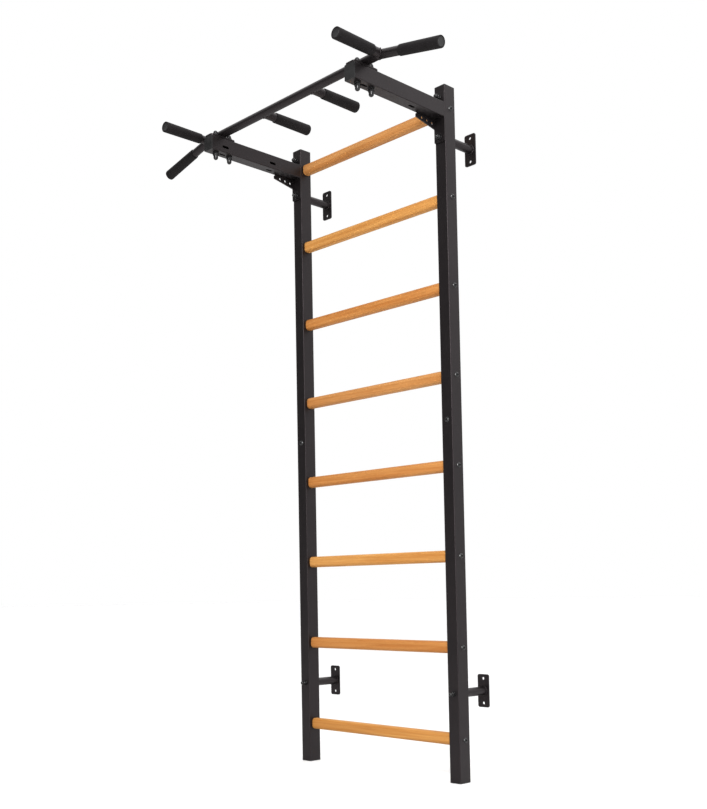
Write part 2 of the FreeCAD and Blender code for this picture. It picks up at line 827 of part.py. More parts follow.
def mitre_block(name, sign, outside):
    """A block whose one face is the mitre plane at a bend, on the plane's outer or inner side.

    The plane leans by half the side handle's angle, in the bar's own frame.
    """
    away = sign if outside else -sign
    start = 0 if away > 0 else -BLOCK
    cube = box(name + "_cube", BLOCK, BLOCK, BLOCK, x=start, y=-BLOCK / 2, z=-BLOCK / 2)
    holder = doc.addObject("Part::Compound", name)
    holder.Links = [cube]
    return place(holder, x=S["bar_bend"] * sign, axis=(0, sign, 0), angle=MITRE)


def side_rod(name, sign, diameter):
    """A straight rod along a side handle's axis, started a little before the bend."""
    rod = cylinder(name + "_rod", diameter, S["side_length"] - S["plug_flange"] + OVERRUN, z=-OVERRUN)
    holder = doc.addObject("Part::Compound", name + "_line")
    holder.Links = [rod]
    lean = S["side_angle"] + RIGHT_ANGLE
    return place(holder, x=S["bar_bend"] * sign, axis=(0, sign, 0), angle=lean)


def bar_envelope(name, diameter):
    """The straight bar as a solid rod in its own frame, mitred at both bends."""
    run = S["bar_bend"] * 2 + OVERRUN * 2
    rod = cylinder(name + "_rod", diameter, run, x=-S["bar_bend"] - OVERRUN, **TO_RIGHT)
    blocks = [mitre_block("%s_end_%s" % (name, side), sign, True) for side, sign in SIDES]
    return subtract(name, rod, fuse(name + "_ends", *blocks))


def side_envelope(name, sign, diameter):
    """A side handle's tube as a solid rod in the bar's frame, mitred at the bend."""
    return subtract(name, side_rod(name, sign, diameter), mitre_block(name + "_end", sign, False))


def in_bar_frame(made, label):
    """Moves a finished piece from the bar's own frame to its place on the arms."""
    place(made, y=BAR_Y, z=BAR_Z)
    return keep(made, label)


def main_bar():
    """The straight tube between the two bends."""
    outside = bar_envelope("bar_out", S["bar_diameter"])
    in_bar_frame(subtract("pull_up_bar", outside, bar_envelope("bar_in", BAR_BORE)), "pull_up_bar")


def side_handle(side, sign):
    """The tube that slopes down beyond the bend."""
    name = "side_handle_" + side
    tube = subtract(
        name,
        side_envelope(name + "_out", sign, S["bar_diameter"]),
        side_envelope(name + "_in", sign, BAR_BORE),
    )
    in_bar_frame(tube, name)


def coped_handle(name, x, length, turn, bend_side=0):
    """A handle square to the bar, its end shaped to the round of the tube that it is welded to."""
    tube = subtract(
        name + "_tube",
        cylinder(name + "_out", S["bar_diameter"], length - S["plug_flange"]),
        cylinder(name + "_in", BAR_BORE, length - S["plug_flange"]),
    )
    place(tube, x=x, **turn)
    host = bar_envelope(name + "_host", S["bar_diameter"])
    if bend_side:
        bend = side_envelope(name + "_bend", bend_side, S["bar_diameter"])
        host = fuse(name + "_hosts", host, bend)
    in_bar_frame(subtract(name, tube, host), name)


def grip_at(name, length):
    """A rubber sleeve on the end of a handle that runs up from z = 0. It widens to the tip."""
    start = length - S["grip_length"]
    root, tip = (S["bar_diameter"] / 2 + S["grip_%s_wall" % end] for end in ("root", "tip"))
    sleeve = doc.addObject("Part::Cone", name + "_sleeve")
    bind(sleeve, Radius1=root, Radius2=tip, Height=S["grip_length"])
    place(sleeve, z=start)
    bore = cylinder(name + "_bore", S["bar_diameter"], S["grip_length"], z=start)
    return subtract(name, sleeve, bore)


def plug_at(name, length):
    """The end plug: a flange inside the sleeve's rim, and a plug in the tube."""
    flange = cylinder(name + "_flange", S["bar_diameter"], S["plug_flange"], z=length - S["plug_flange"])
    start = length - S["plug_flange"] - S["plug_length"]
    stem = cylinder(name + "_stem", BAR_BORE - S["fit_clearance"] * 2, S["plug_length"], z=start)
    return fuse(name, flange, stem)


main_bar()
plugs = []
for side, sign in SIDES:
    side_handle(side, sign)
    front, inner = S["front_handle"] * sign, S["inner_handle"] * sign
    coped_handle("front_handle_" + side, front, S["front_length"], TO_ROOM, bend_side=sign)
    coped_handle("inner_handle_" + side, inner, S["inner_length"], TO_WALL)
    lean = {"axis": (0, sign, 0), "angle": S["side_angle"] + RIGHT_ANGLE}
    for kind, x, length, turn in (
        ("side", S["bar_bend"] * sign, S["side_length"], lean),
        ("front", front, S["front_length"], TO_ROOM),
        ("inner", inner, S["inner_length"], TO_WALL),
    ):
        name = "%s_grip_%s" % (kind, side)
        spot = {"x": x, "y": BAR_Y, "z": BAR_Z}
        keep(place(grip_at(name, length), **spot, **turn), name)
        plugs.append(place(plug_at(name + "_plug", length), **spot, **turn))
group("grip_end_plugs", plugs)


# ---- check and export ----------------------------------------------------------------------------

doc.recompute()
for made in doc.Objects:
    if "Invalid" in made.State or "Error" in made.State:
        raise RuntimeError("%s did not compute: %s" % (made.Name, made.State))
os.makedirs("parts", exist_ok=True)
for made in parts:
    shape = made.Shape
    if shape.isNull() or not shape.isValid() or not shape.Solids:
        raise RuntimeError(made.Label + " has no valid solid")
    shape.exportStep("parts/%s.step" % made.Label)
print("sub-parts: %d" % len(parts))
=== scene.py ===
"""Looks of the wall ladder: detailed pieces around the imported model, materials, and a plain studio."""

import math

import bmesh
import bpy
from mathutils import Matrix, Vector


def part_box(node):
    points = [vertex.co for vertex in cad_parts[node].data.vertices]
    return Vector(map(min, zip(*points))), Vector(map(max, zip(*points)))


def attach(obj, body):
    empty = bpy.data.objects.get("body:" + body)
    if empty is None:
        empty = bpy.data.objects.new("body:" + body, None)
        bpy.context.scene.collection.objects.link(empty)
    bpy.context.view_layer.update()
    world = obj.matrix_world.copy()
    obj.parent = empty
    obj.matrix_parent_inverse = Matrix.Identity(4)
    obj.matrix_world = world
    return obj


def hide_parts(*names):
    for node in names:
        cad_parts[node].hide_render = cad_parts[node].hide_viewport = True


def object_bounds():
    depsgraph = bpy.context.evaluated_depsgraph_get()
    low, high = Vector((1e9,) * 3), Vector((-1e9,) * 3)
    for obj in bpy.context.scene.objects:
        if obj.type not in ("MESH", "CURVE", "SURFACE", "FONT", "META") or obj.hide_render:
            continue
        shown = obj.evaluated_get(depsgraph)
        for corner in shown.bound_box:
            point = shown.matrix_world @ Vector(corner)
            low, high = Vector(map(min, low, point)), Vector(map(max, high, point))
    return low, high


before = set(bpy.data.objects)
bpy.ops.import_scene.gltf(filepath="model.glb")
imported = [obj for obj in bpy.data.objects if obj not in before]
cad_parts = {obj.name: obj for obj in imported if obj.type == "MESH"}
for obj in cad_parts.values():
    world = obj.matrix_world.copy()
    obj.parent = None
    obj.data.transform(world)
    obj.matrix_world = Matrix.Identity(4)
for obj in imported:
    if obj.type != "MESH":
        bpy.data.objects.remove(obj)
cad_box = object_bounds()
scene = bpy.context.scene

MM = 0.001
SIDES = (("left", -1), ("right", 1))
LEVELS = ("lower", "upper")
RUNGS = 8

# Sizes that a node's box doesn't say, as in the part's source.
POST_CORNER, POST_WALL = 3 * MM, 2 * MM
ARM_WALL = 2.5 * MM
BAR_WALL = 2.5 * MM
RUNG_CORNER = 13 * MM
HOLE_SPACING, HOLE_RADIUS = 85 * MM, 5 * MM
BAR_BEND = 430 * MM
SIDE_ANGLE = math.radians(12.8)
SIDE_LENGTH = 257 * MM
GRIP_LENGTH = 165 * MM
GRIP_ROOT, GRIP_TIP = 17.75 * MM, 19 * MM
PLUG_FLANGE = 3 * MM
ARM_PLATE_MARGIN = 17 * MM
SADDLE_CORNER = 12 * MM
SADDLE_BOLTS = (36.03 * MM, 100.97 * MM)
SADDLE_NECK = {1: 3 * MM, -1: 7 * MM}
FRONT_SLOT, REAR_SLOT = 66 * MM, 145 * MM
SLOT_LENGTH, SLOT_HEIGHT, SLOT_DROP = 30 * MM, 9 * MM, 6 * MM
GUSSET_FRONT = 15 * MM
GUSSET_HOLES = (15 * MM, 42 * MM, 69 * MM)
GUSSET_HOLE_RADIUS, GUSSET_HOLE_SINK = 4.5 * MM, 0.48
ARM_HEAD_ACROSS, ARM_HEAD_HEIGHT = 16 * MM, 6.5 * MM
ARM_BOLT_RADIUS, ARM_BOLT_PAST_PLATE = 5 * MM, 12 * MM
SHANK_RADIUS, JOINT_SCREW_REACH = 4 * MM, 10 * MM
POST_NUT = dict(across=16 * MM, hex_height=8 * MM, neck=4 * MM, cap_diameter=14 * MM)
POST_WASHER = dict(outer=10 * MM, bore=5.2 * MM, thick=2 * MM)
SADDLE_NUT = dict(across=19 * MM, hex_height=10 * MM, cap_diameter=17 * MM)
SADDLE_WASHER = dict(outer=12 * MM, bore=6.2 * MM, thick=2.5 * MM)

# Sizes that only the looks have.
INNER_CORNER = 1.5 * MM
CAP_EDGE = 0.5 * MM
PLUG_WALL, PLUG_CORNER, PLUG_LENGTH = 2.2 * MM, 4 * MM, 22 * MM
BRACKET_BEAD, ARM_BEAD, SADDLE_BEAD, HANDLE_BEAD, BEND_BEAD = (
    2.6 * MM, 2.4 * MM, 2.6 * MM, 2.2 * MM, 1.7 * MM
)
SADDLE_BEAD_OFFSET = 7.5 * MM
WALL_PLATE_CORNER, ARM_PLATE_CORNER, ARM_PLATE_HOLE = 7 * MM, 4 * MM, 5.2 * MM
ARM_PLUG_WALL = 2.7 * MM
CUTTER_EDGE = 0.01 * MM

# The studio. Turns are in degrees, and spots and the floor's radius in metres.
FLOOR_RADIUS, FLOOR_GAP = 60, 0.2 * MM
WORLD_FRONT, WORLD_BACK, WORLD_OVERHEAD = 0.14, 0.8, 1.2
CAMERA_TURNS, CAMERA_SPOT = (48.38, 3.00, -0.81), (2.677, -3.089, 0.3555)
CAMERA_LENS, CAMERA_SHIFT = 48.1, (0.115, 0.161)
VIEW_GAMMA = 0.88

SHARP = math.radians(38)
AROUND = 48
HOLE_AROUND = 32
NUT_AROUND = 72
BEAD_AROUND = 12


# ---- materials ---------------------------------------------------------------------------------


class Look:
    """A material under construction: its node tree, and short ways to add to it."""

    def __init__(self, name):
        self.material = bpy.data.materials.new(name)
        self.material.use_nodes = True
        self.tree = self.material.node_tree
        self.shader = self.tree.nodes["Principled BSDF"]
        self.where = self.add("ShaderNodeTexCoord").outputs["Object"]

    def add(self, kind, **settings):
        node = self.tree.nodes.new(kind)
        for name, value in settings.items():
            setattr(node, name, value)
        return node

    def feed(self, socket, value):
        if isinstance(value, bpy.types.NodeSocket):
            self.tree.links.new(value, socket)
        else:
            socket.default_value = value

    def stretch(self, scale, location=(0, 0, 0), rotation=(0, 0, 0)):
        """Object coordinates moved to location, turned, and then scaled."""
        placed = self.add("ShaderNodeMapping", vector_type="TEXTURE")
        self.feed(placed.inputs["Vector"], self.where)
        placed.inputs["Location"].default_value = location
        placed.inputs["Rotation"].default_value = rotation
        placed.inputs["Scale"].default_value = [1 / s for s in scale]
        return placed.outputs["Vector"]

    def noise(self, scale, detail=2.0, rough=0.5, vector=None, distortion=0.0):
        made = self.add("ShaderNodeTexNoise")
        self.feed(made.inputs["Vector"], vector or self.where)
        made.inputs["Scale"].default_value = scale
        made.inputs["Detail"].default_value = detail
        made.inputs["Roughness"].default_value = rough
        made.inputs["Distortion"].default_value = distortion
        return made.outputs["Fac"]

    def ramp(self, value, *stops):
        """Maps a number to a colour or a grey through (place, colour) stops."""
        made = self.add("ShaderNodeValToRGB")
        self.feed(made.inputs["Fac"], value)
        elements = made.color_ramp.elements
        while len(elements) < len(stops):
            elements.new(0.5)
        for element, (place, colour) in zip(elements, stops):
            element.position = place
            element.color = (*colour, 1) if isinstance(colour, tuple) else (colour, colour, colour, 1)
        return made.outputs["Color"]

    def span(self, value, low, high):
        """Maps 0 to 1 onto low to high."""
        made = self.add("ShaderNodeMapRange")
        self.feed(made.inputs["Value"], value)
        made.inputs["To Min"].default_value = low
        made.inputs["To Max"].default_value = high
        return made.outputs["Result"]

    def mix(self, share, first, second, blend="MIX"):
        made = self.add("ShaderNodeMix", data_type="RGBA", blend_type=blend)
        sockets = [s for s in made.inputs if s.type == "RGBA"]
        self.feed(made.inputs["Factor"], share)
        self.feed(sockets[0], first)
        self.feed(sockets[1], second)
        return [s for s in made.outputs if s.type == "RGBA"][0]

    def bump(self, height, depth, strength=1.0, under=None):
        made = self.add("ShaderNodeBump")
        made.inputs["Strength"].default_value = strength
        made.inputs["Distance"].default_value = depth
        self.feed(made.inputs["Height"], height)
        if under:
            self.feed(made.inputs["Normal"], under)
        self.feed(self.shader.inputs["Normal"], made.outputs["Normal"])
        return made.outputs["Normal"]

    def finish(self, colour, rough, **constants):
        self.feed(self.shader.inputs["Base Color"], colour)
        self.feed(self.shader.inputs["Roughness"], rough)
        for name, value in constants.items():
            self.shader.inputs[name.replace("_", " ")].default_value = value
        return self.material


def powder_coat():
    """Satin black powder coat: fine orange peel, with slow changes in tone and sheen."""
    look = Look("powder_coat")
    cloud = look.noise(9, detail=3)
    fleck = look.noise(1400, detail=1)
    tone = look.ramp(cloud, (0.3, (0.0038, 0.0033, 0.0034)), (0.7, (0.0066, 0.0057, 0.0059)))
    speckle = look.ramp(fleck, (0.35, (0.003, 0.0025, 0.0025)), (0.7, (0.014, 0.0118, 0.0120)))
    tone = look.mix(0.25, tone, speckle)
    rough = look.span(look.noise(30, detail=4), 0.34, 0.47)
    peel = look.bump(look.noise(620, detail=2), 0.00006, 0.7)
    look.bump(fleck, 0.00002, 0.5, under=peel)
    return look.finish(tone, rough, Specular_IOR_Level=0.42, Specular_Tint=(1, 0.87, 0.91, 1))


# Each rung is cut from its own board: some boards are redder or darker than others.
TAN = (0.8, 0.85, 0.95, 1)
GOLDEN = (0.9, 1, 1, 1)
RUSSET = (0.8, 0.8, 0.8, 1)
BOARD_TONES = (TAN, GOLDEN, RUSSET, TAN, RUSSET, GOLDEN, RUSSET, GOLDEN)


def beech(number):
    """Oiled beech with the grain along X. Each rung is sawn from its own place in the board."""
    low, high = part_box("rung_%d" % number)
    centre = (low + high) / 2
    look = Look("beech_%d" % number)
    turn = number * 2.4
    pith = centre + Vector((
        0.35 * math.sin(turn), 0.055 + 0.02 * math.cos(turn), 0.06 * math.sin(turn * 1.7),
    ))
    lean = (0, 0.010 * math.sin(turn), 0.016 * math.cos(turn * 1.3))
    ring = look.add("ShaderNodeTexWave", wave_type="RINGS", rings_direction="X", wave_profile="SAW")
    look.feed(ring.inputs["Vector"], look.stretch((1, 1, 1), pith, lean))
    ring.inputs["Scale"].default_value = 62
    ring.inputs["Distortion"].default_value = 2.2
    ring.inputs["Detail"].default_value = 2.5
    ring.inputs["Detail Scale"].default_value = 0.35
    ring.inputs["Detail Roughness"].default_value = 0.55
    fibre = look.noise(1, detail=5, rough=0.62, vector=look.stretch((7, 420, 420), pith))
    streak = look.noise(1, detail=3, rough=0.5, vector=look.stretch((2.2, 70, 70), pith))
    patch = look.noise(1, detail=2, rough=0.5, vector=look.stretch((4, 16, 16), pith))
    pore = look.noise(1, detail=1, rough=0.4, vector=look.stretch((80, 1300, 1300), centre))
    light, dark = (0.56, 0.305, 0.112), (0.33, 0.130, 0.032)
    body = look.ramp(streak, (0.38, dark), (0.62, light))
    rings = look.ramp(ring.outputs["Fac"], (0.0, light), (0.75, (0.44, 0.175, 0.044)), (1.0, dark))
    body = look.mix(0.35, body, rings)
    fibres = look.ramp(fibre, (0.3, (0.38, 0.135, 0.03)), (0.7, (0.60, 0.275, 0.082)))
    body = look.mix(0.34, body, fibres)
    patches = look.ramp(patch, (0.3, (0.45, 0.165, 0.038)), (0.7, (0.62, 0.285, 0.088)))
    body = look.mix(0.22, body, patches)
    flecks = look.ramp(pore, (0.30, 0.0), (0.36, 1.0))
    body = look.mix(look.span(flecks, 0.35, 0.0), body, (0.24, 0.085, 0.026, 1))
    body = look.mix(1, body, BOARD_TONES[number - 1], "MULTIPLY")
    rough = look.span(fibre, 0.42, 0.58)
    under = look.bump(fibre, 0.00005, 0.3)
    look.bump(flecks, 0.00004, 0.25, under=under)
    return look.finish(body, rough, Specular_IOR_Level=0.12)


def grip_rubber():
    """Matt black rubber with a fine moulded grain, a little lighter where dust and talc stay."""
    look = Look("grip_rubber")
    grain = look.add("ShaderNodeTexVoronoi", feature="SMOOTH_F1")
    look.feed(grain.inputs["Vector"], look.where)
    grain.inputs["Scale"].default_value = 900
    cloud = look.noise(26, detail=4, rough=0.6)
    tone = look.ramp(cloud, (0.3, (0.0050, 0.0045, 0.0047)), (0.72, (0.0100, 0.0090, 0.0093)))
    rough = look.span(cloud, 0.58, 0.74)
    under = look.bump(grain.outputs["Distance"], 0.00012, 0.6)
    look.bump(look.noise(2200, detail=2), 0.00003, 0.5, under=under)
    return look.finish(tone, rough, Specular_IOR_Level=0.2, Specular_Tint=(1, 0.92, 0.94, 1))


def black_plastic():
    """Moulded black polyethylene with a fine spark-eroded texture."""
    look = Look("black_plastic")
    grain = look.noise(1900, detail=2)
    cloud = look.noise(40, detail=3)
    tone = look.ramp(cloud, (0.3, (0.008, 0.0078, 0.008)), (0.7, (0.014, 0.0135, 0.014)))
    look.bump(grain, 0.00005, 0.6)
    return look.finish(tone, look.span(cloud, 0.42, 0.55))


def black_fastener():
    """Bright black-plated fasteners, with faint drawing lines and small changes in sheen."""
    look = Look("black_fastener")
    cloud = look.noise(260, detail=3)
    tone = look.ramp(cloud, (0.3, (0.007, 0.007, 0.0075)), (0.75, (0.018, 0.0175, 0.018)))
    look.bump(look.noise(500, detail=3), 0.00004, 0.35)
    return look.finish(tone, look.span(cloud, 0.15, 0.27), Specular_IOR_Level=0.42)


def plain_steel():
    """Zinc-plated steel, with the grain of a drawn bar."""
    look = Look("plain_steel")
    grain = look.noise(1, detail=4, vector=look.stretch((300, 900, 300)))
    tone = look.ramp(grain, (0.3, (0.42, 0.42, 0.43)), (0.7, (0.62, 0.62, 0.6)))
    look.bump(grain, 0.00003, 0.4)
    return look.finish(tone, look.span(grain, 0.26, 0.42), Metallic=1.0)


STEEL = powder_coat()
RUBBER = grip_rubber()
PLASTIC = black_plastic()
FASTENER = black_fastener()
PLAIN = plain_steel()


# ---- geometry ----------------------------------------------------------------------------------


def rounded(wide, high, corner, steps=8):
    """A rounded rectangle about the origin, as plane points."""
    points = []
    for sx, sy, start in ((1, 1, 0), (-1, 1, 1), (-1, -1, 2), (1, -1, 3)):
        for k in range(steps + 1):
            a = (start + k / steps) * math.pi / 2
            points.append((
                sx * (wide / 2 - corner) + corner * math.cos(a),
                sy * (high / 2 - corner) + corner * math.sin(a),
            ))
    return points


def circle(radius, x=0.0, y=0.0, count=AROUND):
    return [
        (x + radius * math.cos(2 * math.pi * k / count), y + radius * math.sin(2 * math.pi * k / count))
        for k in range(count)
    ]


def hexagon_radius(apothem, angle):
    """The distance from the middle of a hexagon to its edge in a direction."""
    sixth = math.pi / 3
    return apothem / math.cos((angle % sixth) - sixth / 2)


def clipped_hexagon(apothem, limit=math.inf):
    """A hexagon's radius by angle, cut round at a limit."""
    return lambda angle: min(hexagon_radius(apothem, angle), limit)


class Build:
    """Closed shells collected into one mesh."""

    def __init__(self):
        self.mesh = bmesh.new()

    def shell(self, rings, closed=False, turn=Matrix.Identity(4)):
        """Skins rings of equally many points, and fills the two ends unless the last joins the first."""
        rows = [[self.mesh.verts.new(turn @ Vector(p)) for p in ring] for ring in rings]
        around = len(rows[0])
        for k in range(len(rows) if closed else len(rows) - 1):
            this, following = rows[k], rows[(k + 1) % len(rows)]
            for i in range(around):
                j = (i + 1) % around
                self.mesh.faces.new((this[i], this[j], following[j], following[i]))
        if not closed:
            self.mesh.faces.new(rows[0][::-1])
            self.mesh.faces.new(rows[-1])

    def lathe(self, profile, turn=Matrix.Identity(4), count=AROUND, closed=False):
        """Turns (radius, height) points about Z. A radius may be a function of the angle."""
        rings = []
        for radius, height in profile:
            ring = []
            for k in range(count):
                a = 2 * math.pi * k / count
                r = radius(a) if callable(radius) else radius
                ring.append((r * math.cos(a), r * math.sin(a), height))
            rings.append(ring)
        self.shell(rings, closed, turn)

    def plate(self, loops, thick, edge, turn=Matrix.Identity(4)):
        """A flat piece about z = 0 with eased edges: an outline loop, then the loops of its holes."""
        curve = bpy.data.curves.new("outline", "CURVE")
        curve.dimensions = "2D"
        curve.fill_mode = "BOTH"
        curve.extrude = thick / 2 - edge
        curve.bevel_depth = edge
        curve.bevel_resolution = 1
        curve.offset = -edge
        for loop in loops:
            spline = curve.splines.new("POLY")
            spline.points.add(len(loop) - 1)
            for point, (x, y) in zip(spline.points, loop):
                point.co = (x, y, 0, 1)
            spline.use_cyclic_u = True
        holder = bpy.data.objects.new("outline", curve)
        flat = bpy.data.meshes.new_from_object(holder)
        flat.transform(turn)
        self.mesh.from_mesh(flat)
        bpy.data.objects.remove(holder)
        bpy.data.curves.remove(curve)
        bpy.data.meshes.remove(flat)

    def bead(self, path, radius, closed=True, pitch=4 * MM):
        """A weld bead along a path, swelling a little at every ripple."""
        spots = [Vector(p) for p in path]
        count = len(spots)
        rings, run = [], 0.0
        for k, spot in enumerate(spots):
            before = spots[k - 1] if closed or k else spot
            after = spots[(k + 1) % count] if closed or k < count - 1 else spot
            along = (after - before).normalized()
            steep = abs(along.z) > 0.99
            side = (along.orthogonal() if steep else along.cross(Vector((0, 0, 1)))).normalized()
            up = side.cross(along)
            run += (spot - before).length
            swell = radius * (1 + 0.13 * math.cos(2 * math.pi * run / pitch))
            if not closed and k in (0, count - 1):
                swell *= 0.55
            rings.append([
                spot + swell * (side * math.cos(a) + up * math.sin(a))
                for a in (2 * math.pi * i / BEAD_AROUND for i in range(BEAD_AROUND))
            ])
        self.shell(rings, closed)

    def straight_bead(self, x, reach, y, z, radius):
        """A weld bead along X that reaches equally far to both sides of x."""
        steps = 40
        line = [(x - reach + 2 * reach * k / steps, y, z) for k in range(steps + 1)]
        self.bead(line, radius, closed=False)

    def join(self):
        """Merges doubled points and turns every face outward."""
        bmesh.ops.remove_doubles(self.mesh, verts=self.mesh.verts, dist=1e-6)
        bmesh.ops.recalc_face_normals(self.mesh, faces=self.mesh.faces)

    def finish(self, name, material, slot, *nodes):
        """Makes the collected mesh a piece that stands for CAD nodes."""
        self.join()
        mesh = bpy.data.meshes.new(name)
        self.mesh.to_mesh(mesh)
        self.mesh.free()
        mesh.materials.append(material)
        mesh.shade_smooth()
        mesh.set_sharp_from_angle(angle=SHARP)
        piece = bpy.data.objects.new(name, mesh)
        scene.collection.objects.link(piece)
        flatten = piece.modifiers.new("flat_faces", "WEIGHTED_NORMAL")
        flatten.keep_sharp = True
        flatten.weight = 60
        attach(piece, "root")
        if nodes:
            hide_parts(*nodes)
        return piece


def columns(x, y, z, spot):
    """A matrix whose axes point along x, y and z, at a spot."""
    made = Matrix.Identity(4)
    for k, axis in enumerate((x, y, z)):
        made.col[k][:3] = axis
    made.col[3][:3] = spot
    return made


def facing(axis, spot):
    """A frame whose Z points along a world axis or its opposite, and whose plane stays upright."""
    axes = {
        "x": ((0, 1, 0), (0, 0, 1), (1, 0, 0)), "-x": ((0, -1, 0), (0, 0, 1), (-1, 0, 0)),
        "y": ((-1, 0, 0), (0, 0, 1), (0, 1, 0)), "-y": ((1, 0, 0), (0, 0, 1), (0, -1, 0)),
        "z": ((1, 0, 0), (0, 1, 0), (0, 0, 1)), "-z": ((1, 0, 0), (0, -1, 0), (0, 0, -1)),
    }
    return columns(*axes[axis], spot)


def middle(node):
    low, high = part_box(node)
    return (low + high) / 2


def extent(node):
    low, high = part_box(node)
    return high - low


def tube(build, low, high, axis, corner, wall, edge=0.3 * MM):
    """An open tube filling a box along an axis, with inner corners rounder than its eased edges."""
    inner = max(corner - wall, INNER_CORNER)
    across = [k for k in range(3) if k != "xyz".index(axis)]
    span = high - low
    wide, tall = (span[k] for k in across)
    loops = [rounded(wide, tall, corner)]
    loops.append(rounded(wide - 2 * wall, tall - 2 * wall, inner))
    length = span["xyz".index(axis)]
    build.plate(loops, length, edge, facing(axis, (low + high) / 2))


# ---- posts -------------------------------------------------------------------------------------

post_box = {
    (side, half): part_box("post_%s_%s" % (side, half)) for side, _ in SIDES for half in LEVELS
}
POST_FRONT = post_box["left", "lower"][0].y
POST_BACK = post_box["left", "lower"][1].y
POST_X = middle("post_right_lower").x
POST_WIDE = extent("post_right_lower").x
FLOOR, TOP = cad_box[0].z, cad_box[1].z

for (side, half), (low, high) in post_box.items():
    build = Build()
    tube(build, low, high, "z", POST_CORNER, POST_WALL)
    build.finish("post_tube_%s_%s" % (side, half), STEEL, "black_steel", "post_%s_%s" % (side, half))


def cap(build, low, high, axis, edge):
    """A cap's flange, which fills a thin box at a tube's end."""
    index = "xyz".index(axis)
    span = high - low
    wide, tall = (span[k] for k in range(3) if k != index)
    build.plate([rounded(wide, tall, POST_CORNER)], span[index], edge, facing(axis, (low + high) / 2))


def cap_plug(build, low, high, axis, wall):
    """A cap's hollow plug, which fills a box inside the tube."""
    inset = Vector([0 if k == "xyz".index(axis) else wall for k in range(3)])
    tube(build, low + inset, high - inset, axis, PLUG_CORNER, 2.5 * MM)


feet, tops = Build(), Build()
for side, sign in SIDES:
    low, high = post_box[side, "lower"]
    cap(feet, Vector((low.x, low.y, FLOOR)), Vector((high.x, high.y, low.z)), "z", CAP_EDGE)
    cap_plug(feet, low, Vector((high.x, high.y, low.z + PLUG_LENGTH)), "z", PLUG_WALL)
    low, high = post_box[side, "upper"]
    cap(tops, Vector((low.x, low.y, high.z)), Vector((high.x, high.y, TOP)), "z", CAP_EDGE)
    cap_plug(tops, Vector((low.x, low.y, high.z - PLUG_LENGTH)), high, "z", PLUG_WALL)
feet.finish("foot_caps", PLASTIC, "black_plastic", "post_feet")
tops.finish("top_caps", PLASTIC, "black_plastic", "post_top_caps")


# ---- rungs -------------------------------------------------------------------------------------

for number in range(1, RUNGS + 1):
    node = "rung_%d" % number
    low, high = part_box(node)
    build = Build()
    loop = rounded(high.y - low.y, high.z - low.z, RUNG_CORNER, 12)
    build.plate([loop], high.x - low.x, 1.5 * MM, facing("x", (low + high) / 2))
    build.finish("beech_rung_%d" % number, beech(number), "beech", node)


def button_head(build, turn, radius=10 * MM, rise=6 * MM, across=6 * MM, deep=3 * MM):
    """A domed head with a hexagon socket, standing on its plane."""
    ball = (radius ** 2 + rise ** 2) / (2 * rise)
    rim = across * 0.62
    profile = [(radius - 0.4 * MM, 0), (radius, 0.3 * MM)]
    steps = 9
    for k in range(1, steps + 1):
        r = radius + (rim + 0.3 * MM - radius) * k / steps
        profile.append((r, max(0.3 * MM, math.sqrt(ball ** 2 - r ** 2) - ball + rise)))
    height = profile[-1][1]
    profile.append((rim, height - 0.15 * MM))
    socket = height - deep
    hexagon = clipped_hexagon(across / 2)
    profile += [(hexagon, height - 0.4 * MM), (hexagon, socket), (0.8 * MM, socket - 0.5 * MM)]
    build.lathe(profile, turn)


def stem(build, turn, radius, length):
    """A plain shank below a head's plane."""
    build.lathe([(radius, 0), (radius, -length + 0.6 * MM), (radius - 0.6 * MM, -length)], turn, 24)


OUTSIDE = POST_X + POST_WIDE / 2
RUNG_SCREW_REACH = 65 * MM
build = Build()
for number in range(1, RUNGS + 1):
    spot = middle("rung_%d" % number)
    for side, sign in SIDES:
        turn = facing("x" if sign > 0 else "-x", (OUTSIDE * sign, spot.y, spot.z))
        button_head(build, turn)
        stem(build, turn, SHANK_RADIUS, RUNG_SCREW_REACH)
build.finish("rung_button_screws", FASTENER, "black_fastener", "rung_screws")

build = Build()
joint_height = middle("joint_bolts").z
for side, sign in SIDES:
    turn = facing("-y", (POST_X * sign, POST_FRONT, joint_height))
    button_head(build, turn)
    stem(build, turn, SHANK_RADIUS, JOINT_SCREW_REACH)
build.finish("joint_button_screws", FASTENER, "black_fastener", "joint_bolts")


# ---- wall brackets -----------------------------------------------------------------------------

for level in LEVELS:
    for side, sign in SIDES:
        tag = "%s_%s" % (level, side)
        span, spot = extent("wall_plate_" + tag), middle("wall_plate_" + tag)
        build = Build()
        loops = [rounded(span.x, span.z, WALL_PLATE_CORNER)]
        loops += [circle(HOLE_RADIUS, 0, HOLE_SPACING / 2 * way, HOLE_AROUND) for way in (-1, 1)]
        build.plate(loops, span.y, 0.6 * MM, facing("-y", spot))
        build.finish("bracket_plate_" + tag, STEEL, "black_steel", "wall_plate_" + tag)
        low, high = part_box("wall_spacer_" + tag)
        radius = (high.x - low.x) / 2
        build = Build()
        length = high.y - low.y
        profile = [
            (5 * MM, 0), (radius - 0.8 * MM, 0), (radius, 0.8 * MM),
            (radius, length - 0.4 * MM), (radius - 0.4 * MM, length), (5 * MM, length),
        ]
        build.lathe(profile, facing("y", (spot.x, low.y, spot.z)), closed=True)
        seam = circle(radius + 0.6 * MM, count=2 * AROUND)
        build.bead([(spot.x + x, high.y - 1.2 * MM, spot.z + z) for x, z in seam], BRACKET_BEAD)
        build.finish("bracket_spacer_" + tag, STEEL, "black_steel", "wall_spacer_" + tag)


# ---- arms --------------------------------------------------------------------------------------

ARM_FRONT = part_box("arm_front_caps")[0].y


